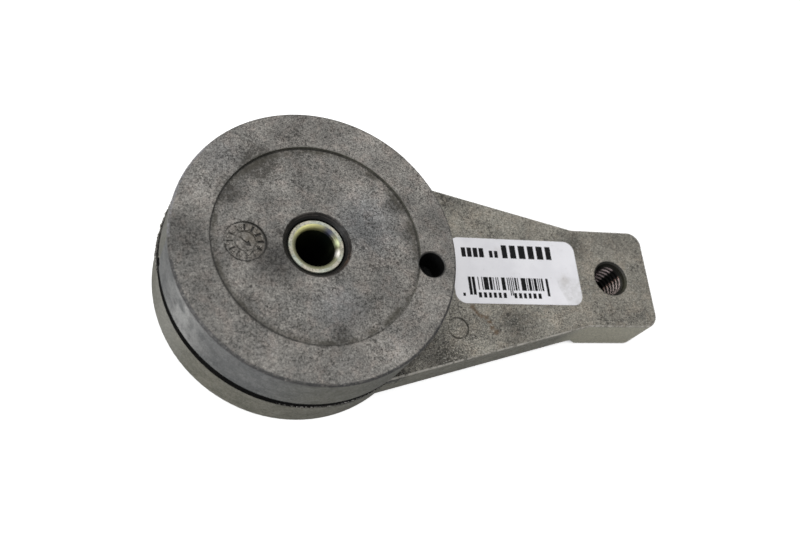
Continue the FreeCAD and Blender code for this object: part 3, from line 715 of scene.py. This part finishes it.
def plated_steel():
    """The sleeve: yellowish plating, painted reflections as bright and dark arcs on its rolled lip,
    a bore painted black as shade.
    """
    graph = Graph("plated_steel")
    from_axis = graph.radius_from()
    azimuth = graph.azimuth()
    clouds = graph.noise(2.4, 4.0, 0.6, 1.0)
    specks = graph.noise(0.4, 3.0, 0.65, 2.0)
    color = graph.ramp(clouds, 0.36, 0.64, (0.34, 0.335, 0.26), (0.47, 0.44, 0.36))
    color = graph.mix(graph.step(specks, 0.36, 0.5, 0.7, 0.0), color, (0.16, 0.155, 0.13))
    color = graph.stain(color, (0.05, 0.055, 0.05), graph.speckle(0.15, 0.5, 6.0), 0.8)
    iris = graph.step(graph.noise(4.0, 2.0, 0.5, 3.0), 0.45, 0.62)
    color = graph.stain(color, (0.4, 0.52, 0.47), iris, 0.3)
    # Painted reflections: bright and dark arcs round the rolled lip.
    on_lip = graph.fall(from_axis, BORE_RADIUS + 0.85, BORE_RADIUS + 1.1)
    lip = graph.mix(graph.band(azimuth, 112.0, 62.0), (0.2, 0.2, 0.12), (0.62, 0.6, 0.26))
    lip = graph.mix(graph.band(azimuth, 48.0, 26.0), lip, (0.05, 0.055, 0.085))
    lip = graph.mix(graph.band(azimuth, 12.0, 15.0), lip, (0.6, 0.66, 0.4))
    lip = graph.mix(graph.band(azimuth, -18.0, 18.0), lip, (0.85, 0.82, 0.76))
    color = graph.mix(on_lip, color, lip)
    # Painted shade: the bore below the lip is painted black, with less metal and shine.
    below = graph.fall(graph.z, SLEEVE_TOP - 1.6, SLEEVE_TOP - 1.0)
    inside = graph.times(below, graph.fall(from_axis, BORE_RADIUS + 0.3, BORE_RADIUS + 0.5))
    color = graph.stain(color, (0.004, 0.006, 0.004), inside, 0.985)
    # Painted shade: the sleeve's outer wall in the gap is painted near black.
    outside = graph.step(from_axis, SLEEVE_RADIUS - 0.16, SLEEVE_RADIUS - 0.1)
    color = graph.stain(color, (0.02, 0.02, 0.018), outside, 0.9)
    graph.bump(graph.times(specks, 0.02), 0.6)
    shine = graph.math("SUBTRACT", 0.55, graph.times(0.45, graph.math("MAXIMUM", inside, outside)))
    rough = graph.step(specks, 0.3, 0.7, 0.5, 0.34)
    return graph.finish(color, rough, shine, graph.math("MULTIPLY_ADD", inside, -0.48, 0.5))


def ground_steel():
    """Plain ground steel of the washer and the damper band."""
    graph = Graph("ground_steel")
    marks = graph.noise(0.5, 3.0, 0.6, 1.0, stretch=(1, 1, 9))
    clouds = graph.noise(4.0, 4.0, 0.6, 2.0)
    color = graph.ramp(clouds, 0.35, 0.65, (0.4, 0.39, 0.37), (0.56, 0.56, 0.55))
    graph.bump(graph.times(marks, 0.012), 0.6)
    return graph.finish(color, graph.step(marks, 0.3, 0.7, 0.42, 0.28), 1.0)


def spring_wire():
    """Dark oil-tempered wire with patches of scale."""
    graph = Graph("spring_wire")
    scale = graph.noise(1.4, 4.0, 0.65, 1.0)
    clouds = graph.noise(7.0, 3.0, 0.6, 2.0)
    color = graph.ramp(clouds, 0.35, 0.65, (0.06, 0.062, 0.066), (0.13, 0.13, 0.135))
    color = graph.mix(graph.step(scale, 0.58, 0.72, 0.0, 0.5), color, (0.2, 0.17, 0.13))
    graph.bump(graph.times(scale, 0.03), 0.6)
    return graph.finish(color, graph.step(scale, 0.3, 0.7, 0.38, 0.55), 0.85)


def moulded(name, dark, light, rough, specular=0.3):
    """A fine-grained polymer or rubber between two tones."""
    graph = Graph(name)
    clouds = graph.noise(5.0, 4.0, 0.6, 1.0)
    grain = graph.noise(0.35, 2.0, 0.6, 2.0)
    color = graph.ramp(clouds, 0.35, 0.65, dark, light)
    graph.bump(graph.times(grain, 0.03), 0.7)
    rough = graph.step(grain, 0.3, 0.7, rough + 0.08, rough - 0.08)
    return graph.finish(color, rough, 0.0, specular)


def thread_metal():
    """Cut metal of the pulley thread, with a painted highlight, a painted shadow band and painted
    shade round the hole.
    """
    graph = Graph("thread_metal")
    along = graph.noise(0.5, 3.0, 0.6, 1.0, stretch=(1, 1, 5))
    color = graph.ramp(along, 0.35, 0.65, (0.3, 0.235, 0.22), (0.6, 0.5, 0.47))
    azimuth = graph.azimuth(THREAD_X)
    # Painted highlight: the ridges on one side of the hole are painted bright.
    color = graph.ramp(azimuth, 40.0, 50.0, color, (0.95, 0.78, 0.78))
    rusty = graph.band(azimuth, 22.0, 16.0)
    color = graph.stain(color, graph.vector("MULTIPLY", color, (1.1, 0.66, 0.5)), rusty, 0.6)
    # Painted shade: the ridge's flanks near the wall are painted near black.
    groove = graph.step(graph.radius_from(THREAD_X), THREAD_WALL - 0.77, THREAD_WALL - 0.55)
    color = graph.stain(color, (0.012, 0.014, 0.011), groove, 0.96)
    # Painted shadow band: black across the thread on one side of the hole.
    off_shadow_band = graph.math("ABSOLUTE", graph.math("SUBTRACT", azimuth, 37.0))
    shadow_band = graph.step(off_shadow_band, 13.0, 23.0, 0.99, 0.0)
    color = graph.mix(shadow_band, color, (0.003, 0.003, 0.003))
    unlit = graph.step(azimuth, 84.0, 100.0, 0.0, 0.95)
    color = graph.mix(unlit, color, (0.006, 0.006, 0.006))
    # Painted shade: the turns near the mouth are painted dark.
    mouth = graph.step(graph.z, ARM_TOP - 2.4, ARM_TOP - 1.4, 0.0, 0.95)
    color = graph.mix(mouth, color, (0.012, 0.012, 0.009))
    graph.bump(graph.times(along, 0.015), 0.6)
    return graph.finish(color, graph.step(along, 0.3, 0.7, 0.45, 0.3), 0.7, 0.3)


def burr_metal():
    """Torn edge metal: painted highlights on its raised tips and outer edge, and a painted black
    shadow at its foot.
    """
    graph = Graph("burr_metal")
    grain = graph.noise(0.35, 3.0, 0.7, 1.0)
    height = graph.plus(graph.z, graph.swing(0.25, 0.5, seed=2.0))
    tips = graph.step(height, CUP_RIM + 0.12, CUP_RIM + 0.42)
    outward = graph.step(graph.radius_from(), CUP_RADIUS + 0.38, CUP_RADIUS + 0.62)
    # Painted highlights on the tips and the outer edge; elsewhere a painted black shadow.
    bright = graph.times(graph.math("MAXIMUM", tips, outward), graph.step(grain, 0.38, 0.54))
    color = graph.stain((0.006, 0.006, 0.006), (0.55, 0.53, 0.49), bright, 0.8)
    graph.bump(graph.times(grain, 0.05), 0.8)
    return graph.finish(color, 0.6, 0.2, graph.times(bright, 0.4))


def dial_relief():
    """Cast strokes of the dial: pale on top, near black at the foot."""
    graph = Graph("dial_relief")
    grain = graph.noise(0.4, 3.0, 0.7, 1.0)
    level = graph.plus(graph.z, graph.swing(0.12, 0.7, seed=2.0))
    top = graph.step(level, RECESS_LEVEL + 0.1, RECESS_LEVEL + 0.25)
    color = graph.ramp(grain, 0.35, 0.65, (0.16, 0.148, 0.13), (0.32, 0.3, 0.27))
    color = graph.mix(top, (0.022, 0.018, 0.014), color)
    graph.bump(graph.times(grain, 0.04), 0.8)
    return graph.finish(color, 0.6, 0.2)


def label_paper():
    """White paper with a few specks and a grey rubbed patch at its free end."""
    graph = Graph("label_paper")
    clouds = graph.noise(7.0, 4.0, 0.6, 1.0)
    color = graph.ramp(clouds, 0.35, 0.65, (0.81, 0.805, 0.84), (0.87, 0.865, 0.9))
    specks = graph.speckle(0.02, 0.8, 2.0)
    color = graph.stain(color, (0.35, 0.32, 0.29), specks, 0.4)
    slant = graph.plus(graph.x, graph.times(graph.y, 0.35), graph.swing(0.7, 2.0, seed=6.0))
    patch = graph.times(graph.step(slant, 71.3, 72.0), graph.fall(graph.y, -1.9, 0.4))
    mottle = graph.step(graph.noise(1.4, 4.0, 0.7, 3.0), 0.34, 0.66, 0.3, 1.0)
    color = graph.stain(color, (0.46, 0.455, 0.44), patch, mottle, 0.45)
    place = graph.wandered(1.2, 0.6)
    color = graph.stain(color, (0.4, 0.37, 0.33), graph.spot(place, 74.5, -1.2, 2.2), 0.35)
    color = graph.stain(color, (0.42, 0.38, 0.34), graph.spot(place, 55.5, 6.5, 2.2), 0.18)
    # Painted light: the label's left end, shaded by the housing, is painted paler.
    left_end_lift = graph.step(graph.x, 43.0, 47.0, 0.7, 0.0)
    color = graph.mix(left_end_lift, color, (0.94, 0.935, 0.965))
    graph.bump(graph.times(graph.noise(3.0, 3.0, 0.5, 5.0), 0.06), 0.5)
    return graph.finish(color, graph.step(clouds, 0.3, 0.7, 0.55, 0.45), 0.0, 0.3)


def label_ink():
    """Black print, thin in places."""
    graph = Graph("label_ink")
    worn = graph.noise(0.5, 3.0, 0.65, 1.0)
    color = graph.ramp(worn, 0.55, 0.75, (0.006, 0.006, 0.007), (0.035, 0.035, 0.04))
    return graph.finish(color, graph.step(worn, 0.3, 0.7, 0.6, 0.7), 0.0, 0.15)


def floor_paint():
    """A pale matt floor, bright to the camera except deep inside a hole or under the object."""
    graph = Graph("studio_floor")
    paper = graph.noise(40.0, 3.0, 0.5, 1.0)
    color = graph.ramp(paper, 0.3, 0.7, (0.54, 0.54, 0.54), (0.56, 0.56, 0.56))
    seen = graph.nodes.new("ShaderNodeLightPath").outputs["Is Camera Ray"]
    shelter = graph.nodes.new("ShaderNodeAmbientOcclusion")
    shelter.samples = 8
    shelter.inputs["Distance"].default_value = 0.03
    open_air = graph.step(shelter.outputs["AO"], 0.1, 0.4)
    graph.link((1.0, 1.0, 1.0), graph.shader.inputs["Emission Color"])
    graph.link(graph.times(seen, open_air, 0.82), graph.shader.inputs["Emission Strength"])
    # Painted shade: the floor's colour darkens where the object shelters it.
    color = graph.scale(color, graph.step(shelter.outputs["AO"], 0.05, 0.3))
    return graph.finish(color, 0.9, 0.0, 0.1)


# ---------------------------------------------------------------- meshes


def new_piece(name, points, faces, body, material, smooth=True):
    """A mesh piece from points in millimetres, riding on a body."""
    mesh = bpy.data.meshes.new(name)
    mesh.from_pydata([Vector(point) * MM for point in points], [], faces)
    mesh.update()
    piece = bpy.data.objects.new(name, mesh)
    bpy.context.scene.collection.objects.link(piece)
    mesh.materials.append(material)
    mesh.polygons.foreach_set("use_smooth", [smooth] * len(mesh.polygons))
    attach(piece, body)
    return piece


def tube(sections):
    """Points and faces of a closed tube through cross sections with equal numbers of points."""
    size = len(sections[0])
    points = [point for section in sections for point in section]
    faces = []
    for row in range(len(sections) - 1):
        here, there = row * size, (row + 1) * size
        for column in range(size):
            after = (column + 1) % size
            faces.append((here + column, here + after, there + after, there + column))
    faces.append(tuple(reversed(range(size))))
    faces.append(tuple(range(len(points) - size, len(points))))
    return points, faces


def pulley_thread():
    """The ridge of the internal thread, a helix that stands in from the bore's wall."""
    pitch = 25.4 / 16
    steps_per_turn = 48
    half_foot, half_crest = 0.44 * pitch, 0.09 * pitch
    height = 0.78
    end_gap = 0.25
    foot = THREAD_WALL + 0.03
    low = THREAD_MID - THREAD_LENGTH / 2 + end_gap
    high = THREAD_MID + THREAD_LENGTH / 2 - end_gap
    turns = (high - low - 0.8 * pitch) / pitch
    steps = int(turns * steps_per_turn)
    sections = []
    for step in range(steps + 1):
        share = step / steps
        angle = 2 * math.pi * turns * share
        level = low + 0.4 * pitch + pitch * turns * share
        fade = min(1.0, share * turns * 2.5, (1 - share) * turns * 2.5)
        crest = THREAD_WALL - 0.02 - height * max(fade, 0.04)
        profile = (
            (foot, -half_foot),
            (crest, -half_crest),
            (crest, half_crest),
            (foot, half_foot),
        )
        sections.append(
            [
                (THREAD_X + radius * math.cos(angle), radius * math.sin(angle), level + rise)
                for radius, rise in profile
            ]
        )
    points, faces = tube(sections)
    piece = new_piece("pulley_thread_ridge", points, faces, "arm", thread_metal())
    piece.data.set_sharp_from_angle(angle=math.radians(40))


def smooth_step(value, low, high):
    """0 at low and 1 at high; low may be above high."""
    share = min(1.0, max(0.0, (value - low) / (high - low)))
    return share * share * (3 - 2 * share)


def rim_burr():
    """The torn flash along the cup's upper edge: wide at the left, fine elsewhere."""
    draw = random.Random(11)
    start, end = math.radians(120), math.radians(318)
    steps = 2600
    lumps = [draw.random() for _ in range(steps + 1)]

    def jagged(step, length):
        """Random heights joined by straight runs of a number of steps."""
        whole, part = divmod(step, length)
        part /= length
        return lumps[whole % steps] * (1 - part) + lumps[(whole + 1) % steps] * part

    sections = []
    for step in range(steps + 1):
        share = step / steps
        angle = start + (end - start) * share
        degrees = math.degrees(angle)
        torn = smooth_step(degrees, 130, 146) * smooth_step(degrees, 184, 176)
        crumbly = smooth_step(degrees, 250, 266) * smooth_step(degrees, 318, 306)
        rough = 0.4 * jagged(step, 9) + 0.35 * jagged(step + 500, 4) + 0.25 * lumps[step]
        reach = 0.06 + 0.12 * rough + torn * (0.4 + 0.55 * rough) + crumbly * 0.22 * rough
        rise = 0.05 + 0.14 * rough + torn * (0.15 + 0.75 * rough) + crumbly * 0.5 * rough
        ends = min(1.0, share * 60, (1 - share) * 60) + 0.02
        reach *= ends
        rise *= ends
        profile = (
            (CUP_RADIUS - 0.55, CUP_RIM - 0.06),
            (CUP_RADIUS - 0.02, CUP_RIM - 0.55),
            (CUP_RADIUS + 0.75 * reach, CUP_RIM - 0.3 * ends),
            (CUP_RADIUS + reach, CUP_RIM + 0.55 * rise),
            (CUP_RADIUS + 0.85 * reach - 0.1, CUP_RIM + rise),
            (CUP_RADIUS + 0.45 * reach - 0.25, CUP_RIM + 0.3 * rise),
        )
        sections.append([(r * math.cos(angle), r * math.sin(angle), level) for r, level in profile])
    points, faces = tube(sections)
    new_piece("cup_rim_flash", points, faces, "arm", burr_metal(), smooth=False)


def add_prism(points, faces, low_ring, high_ring):
    """Add a closed prism between two rings with equal numbers of points."""
    base, size = len(points), len(low_ring)
    points += low_ring + high_ring
    faces.append(tuple(base + size - 1 - corner for corner in range(size)))
    faces.append(tuple(base + size + corner for corner in range(size)))
    for corner in range(size):
        after = (corner + 1) % size
        faces.append((base + corner, base + after, base + size + after, base + size + corner))


def print_blocks(name, blocks, material):
    """Thin raised ink: each block is (low x, high x, low y, high y) in millimetres."""
    sink, thickness = 0.002, 0.015
    points, faces = [], []
    for x_low, x_high, y_low, y_high in blocks:
        outline = ((x_low, y_low), (x_high, y_low), (x_high, y_high), (x_low, y_high))
        low_ring = [(x, y, LABEL_TOP - sink) for x, y in outline]
        high_ring = [(x, y, LABEL_TOP + thickness) for x, y in outline]
        add_prism(points, faces, low_ring, high_ring)
    new_piece(name, points, faces, "arm", material, smooth=False)


def block_row(draw, start, end, low, high, widths, gap):
    """A row of blocks with random widths between two ends."""
    blocks, x = [], start
    while x < end - widths[0]:
        width = draw.uniform(*widths)
        blocks.append((x, min(x + width, end), low, high))
        x += width + gap
    return blocks


WORD_ROWS = (  # start, end, low, high, block widths, gap
    (44.6, 51.4, 4.95, 7.7, (1.0, 1.4), 0.45),
    (52.8, 55.4, 4.95, 7.0, (0.9, 1.1), 0.5),
    (56.7, 72.1, 4.9, 8.8, (1.6, 2.0), 0.85),
)
DIGIT_ROWS = (  # start, end, low, high, block widths, gap
    (47.9, 56.6, -6.75, -5.25, (0.8, 0.95), 0.6),
    (58.4, 67.1, -6.75, -5.25, (0.8, 0.95), 0.6),
    (43.4, 44.4, -6.4, -5.5, (0.7, 0.8), 0.5),
)


def bar_code(draw):
    """Bars of random widths; the guard bars at both ends and in the middle reach lower."""
    module, x, end = 0.28, 45.4, 69.4
    top, foot, guard_foot = -0.8, -4.5, -6.0
    bars = []
    while x < end:
        width = draw.choice((1, 1, 2, 3, 4, 5)) * module
        guard = x < 46.9 or x > end - 1.2 or 56.9 < x < 58.3
        bars.append((x, min(x + width, end), guard_foot if guard else foot, top))
        x += width + draw.choice((1, 1, 1, 2, 3)) * module
    return bars


def label_print():
    """Plain marks that stand where a label has words, a bar code and digits."""
    draw = random.Random(5)
    ink = label_ink()
    words = [block for row in WORD_ROWS for block in block_row(draw, *row)]
    print_blocks("label_word_blocks", words, ink)
    print_blocks("label_bars", bar_code(draw), ink)
    digits = [block for row in DIGIT_ROWS for block in block_row(draw, *row)]
    print_blocks("label_digit_blocks", digits, ink)


def stroke_ring(middle, length, width, tilt, level):
    """Eight points round a tilted oval stroke."""
    ring = []
    for corner in range(8):
        turn = math.pi / 8 + corner * math.pi / 4
        along = length * math.cos(turn)
        across = width * math.sin(turn)
        x = middle[0] + along * math.cos(tilt) - across * math.sin(tilt)
        y = middle[1] + along * math.sin(tilt) + across * math.cos(tilt)
        ring.append((x, y, level))
    return ring


def dial_marks():
    """Worn raised strokes between the dial's ticks, too blunt to be read as digits."""
    draw = random.Random(11)
    sink, height, top_share = 0.03, 0.26, 0.6
    points, faces = [], []
    for sector in range(DIAL_SECTORS):
        for _ in range(draw.choice((1, 2, 2))):
            angle = math.radians(360 / DIAL_SECTORS * sector + draw.uniform(9.0, 21.0))
            radius = draw.uniform(2.95, 4.4)
            tilt = draw.uniform(0, math.pi)
            length, width = draw.uniform(0.4, 0.75), draw.uniform(0.2, 0.3)
            middle = (DIAL_X + radius * math.cos(angle), radius * math.sin(angle))
            low_ring = stroke_ring(middle, length, width, tilt, RECESS_LEVEL - sink)
            high_ring = stroke_ring(
                middle, top_share * length, top_share * width, tilt, RECESS_LEVEL + height
            )
            add_prism(points, faces, low_ring, high_ring)
    new_piece("dial_marks", points, faces, "base", dial_relief(), smooth=False)


# ---------------------------------------------------------------- studio


def studio():
    """The floor just below the object, the surrounding light and two soft lamps."""
    half = 2.0
    floor_gap = 0.0001
    level = cad_box[0].z - floor_gap
    corners = ((-half, -half), (half, -half), (half, half), (-half, half))
    mesh = bpy.data.meshes.new("studio_floor")
    mesh.from_pydata([(x, y, level) for x, y in corners], [], [(0, 1, 2, 3)])
    floor = bpy.data.objects.new("studio_floor", mesh)
    bpy.context.scene.collection.objects.link(floor)
    mesh.materials.append(floor_paint())
    studio_world()
    add_softbox("overhead_box", (-0.1, 0.3, 0.85), 0.8, 3.4)
    add_softbox("left_box", (-0.72, -0.3, 0.34), 0.4, 3.0)


def studio_world():
    """Soft light, strongest from above and weak near the horizon; plain white to the camera."""
    world = bpy.data.worlds.new("studio_world")
    bpy.context.scene.world = world
    world.use_nodes = True
    tree = world.node_tree
    way = tree.nodes.new("ShaderNodeTexCoord")
    parts = tree.nodes.new("ShaderNodeSeparateXYZ")
    tree.links.new(way.outputs["Generated"], parts.inputs[0])
    rise = tree.nodes.new("ShaderNodeMapRange")
    for index, value in enumerate((0.0, 1.0, 0.22, 0.62), start=1):
        rise.inputs[index].default_value = value
    tree.links.new(parts.outputs[2], rise.inputs[0])
    seen = tree.nodes.new("ShaderNodeLightPath")
    strength = tree.nodes.new("ShaderNodeMath")
    strength.operation = "MAXIMUM"
    tree.links.new(rise.outputs[0], strength.inputs[0])
    tree.links.new(seen.outputs["Is Camera Ray"], strength.inputs[1])
    background = tree.nodes["Background"]
    background.inputs["Color"].default_value = (1.0, 1.0, 1.0, 1.0)
    tree.links.new(strength.outputs[0], background.inputs["Strength"])


def add_softbox(name, place, size, power):
    """A square lamp aimed at the object: place and size in metres, power in watts."""
    light = bpy.data.lights.new(name, "AREA")
    light.shape = "SQUARE"
    light.size = size
    light.energy = power
    lamp = bpy.data.objects.new(name, light)
    bpy.context.scene.collection.objects.link(lamp)
    lamp.location = place
    aim = Vector((0.03, 0.0, 0.01)) - Vector(place)
    lamp.rotation_mode = "QUATERNION"
    lamp.rotation_quaternion = aim.to_track_quat("-Z", "Y")


def add_camera():
    """A close viewpoint to the near left of the pivot, looking down at the mounting face."""
    place = Vector((-68.2, -100.3, RIM_LEVEL + 213.5)) * MM
    ahead = Vector((0.35327, 0.37976, -0.85498)).normalized()
    up_hint = Vector((-0.03045, 0.91809, 0.39521))
    right = ahead.cross(up_hint).normalized()
    up = right.cross(ahead)
    data = bpy.data.cameras.new("camera")
    data.sensor_width = 36.0
    data.lens = 46.34
    data.clip_start = 0.01
    camera = bpy.data.objects.new("camera", data)
    bpy.context.scene.collection.objects.link(camera)
    turned = Matrix((right, up, -ahead)).transposed().to_4x4()
    camera.matrix_world = Matrix.Translation(place) @ turned
    focus = bpy.data.objects.new("focus_point", None)
    focus.location = Vector((24.0, 0.0, 20.0)) * MM
    bpy.context.scene.collection.objects.link(focus)
    data.dof.use_dof = True
    data.dof.focus_object = focus
    data.dof.aperture_fstop = 16.0
    bpy.context.scene.camera = camera


# ---------------------------------------------------------------- assembly


def dress_nodes():
    """Give every CAD node its procedural material and smooth shading inside each face."""
    steel = ground_steel()
    bush = moulded("bush_polymer", (0.09, 0.1, 0.09), (0.14, 0.15, 0.135), 0.5)
    finishes = {
        "base_housing": cast_housing(),
        "tensioner_arm": cast_arm(),
        "pivot_sleeve": plated_steel(),
        "thrust_washer": steel,
        "damper_band": steel,
        "lower_bush": bush,
        "upper_bush": bush,
        "spring_guide": moulded("guide_polymer", (0.018, 0.018, 0.019), (0.035, 0.035, 0.037), 0.5),
        "torsion_spring": spring_wire(),
        "damper_liner": moulded("liner_polymer", (0.13, 0.1, 0.065), (0.2, 0.165, 0.11), 0.6),
        # Near-black rubber, partly standing for the shade in the gap between the cups.
        "dust_seal": moulded("seal_rubber", (0.002,) * 3, (0.005,) * 3, 0.9, 0.05),
        "part_label": label_paper(),
    }
    for name, material in finishes.items():
        mesh = nodes[name].data
        mesh.polygons.foreach_set("use_smooth", [True] * len(mesh.polygons))
        for index in range(len(mesh.materials)):
            mesh.materials[index] = material
        if not mesh.materials:
            mesh.materials.append(material)


dress_nodes()
pulley_thread()
rim_burr()
dial_marks()
label_print()
studio()
add_camera()
bpy.context.scene.view_settings.view_transform = "Standard"
